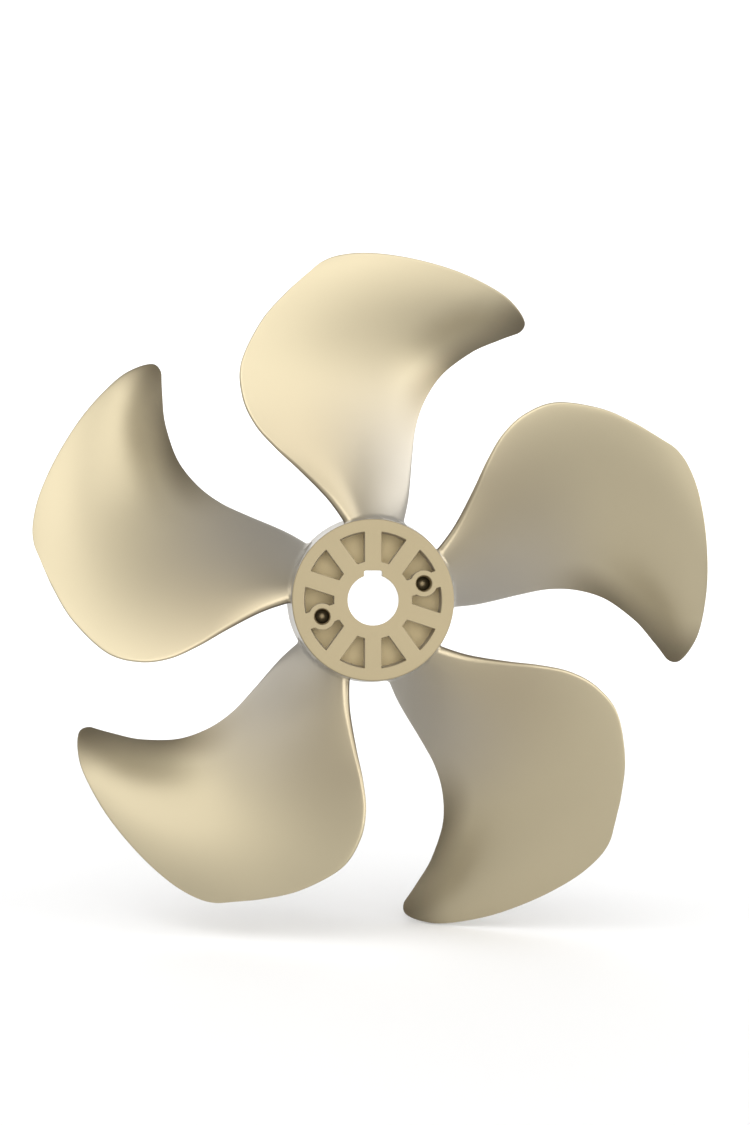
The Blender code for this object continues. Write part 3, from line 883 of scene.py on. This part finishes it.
lampSpread = 36                                     # degrees across, as large softboxes are
lamps = {                                           # tilt from the camera's direction, turn from +X to +Z
    "front": {"tilt": 0, "turn": 0, "strength": 1.09},
    "above": {"tilt": 30, "turn": 90, "strength": 0.64},
    "aboveRight": {"tilt": 30, "turn": 45, "strength": 0.36},
    "upperRight": {"tilt": 58, "turn": 30, "strength": 0.73},
    "right": {"tilt": 86, "turn": 0, "strength": 1.25},
    "lowerRight": {"tilt": 30, "turn": -15, "strength": 0.47},
    "upperLeft": {"tilt": 58, "turn": 120, "strength": 0.50},
    "left": {"tilt": 58, "turn": 150, "strength": 0.17},
    "farLeft": {"tilt": 86, "turn": 150, "strength": 0.47},
}

stage = {
    "halfWidth": 0.42,
    "frontHalfWidth": 0.13,                         # it narrows towards the camera
    "front": -0.29,
    "back": 0.9,
    "height": 1.4,
    "cornerRound": 0.25,
    "cornerSteps": 16,
    "gap": 0.3 * mm,                                # under the lowest blade
    "paper": (0.85, 0.85, 0.85, 1),
    "paperRoughness": 0.9,
    "air": 0.68,
}


def addLamps():                                     # wide soft suns, which light the whole stage evenly
    for name, lamp in lamps.items():
        tilt, turn = math.radians(lamp["tilt"]), math.radians(lamp["turn"])
        away = Vector((math.sin(tilt) * math.cos(turn), -math.cos(tilt), math.sin(tilt) * math.sin(turn)))
        dropSelection()
        bpy.ops.object.light_add(type="SUN", location=away)
        light = bpy.context.object
        light.name = name
        light.data.angle = math.radians(lampSpread)
        light.data.energy = lamp["strength"]
        light.rotation_euler = (-away).to_track_quat("-Z", "Y").to_euler()


def addStage():                                     # one white sheet: the floor, curved up into the backdrop
    low = cadBox[0][2]
    middle = (stage["front"] + stage["back"]) / 2
    dropSelection()
    bpy.ops.mesh.primitive_plane_add(size=1, location=(0, middle, low - stage["gap"]))
    bpy.context.object.scale = (2 * stage["halfWidth"], stage["back"] - stage["front"], 1)
    sheet = settle(named("paperSheet"))
    selectEdges(sheet, lambda a, b: max(a.y, b.y) < stage["front"] + mm)
    bpy.ops.transform.resize(value=(stage["frontHalfWidth"] / stage["halfWidth"], 1, 1))
    selectEdges(sheet, lambda a, b: min(a.y, b.y) > stage["back"] - mm)
    bpy.ops.mesh.extrude_region_move(TRANSFORM_OT_translate={"value": (0, 0, stage["height"])})
    selectEdges(sheet, lambda a, b: min(a.y, b.y) > stage["back"] - mm and max(a.z, b.z) < low)
    bpy.ops.mesh.bevel(offset=stage["cornerRound"], segments=stage["cornerSteps"], affect="EDGES")
    bpy.ops.object.mode_set(mode="OBJECT")
    bpy.ops.object.shade_smooth()
    paper = Finish("whitePaper", Base_Color=stage["paper"], Roughness=stage["paperRoughness"])
    sheet.data.materials.append(paper.material)
    world = bpy.data.worlds.new("studioAir")
    world.use_nodes = True
    air = world.node_tree.nodes["Background"]
    air.inputs["Color"].default_value = (1, 1, 1, 1)
    air.inputs["Strength"].default_value = stage["air"]
    bpy.context.scene.world = world
    bpy.context.scene.view_settings.view_transform = "Standard"


def main():
    aimCamera()
    print("camera set")
    moulding = makeMoulding()
    moulding.data.materials.clear()
    moulding.data.materials.append(champagneFinish())
    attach(moulding, "root")
    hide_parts("propeller_moulding")
    bronze = darkBronzeFinish()
    for side in bosses["angles"]:
        piece = makeBush(side)
        piece.data.materials.append(bronze)
        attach(piece, "root")
        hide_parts(f"puller_bush_{side}")
    print("bushes made")
    addStage()
    addLamps()
    print("studio set")


main()
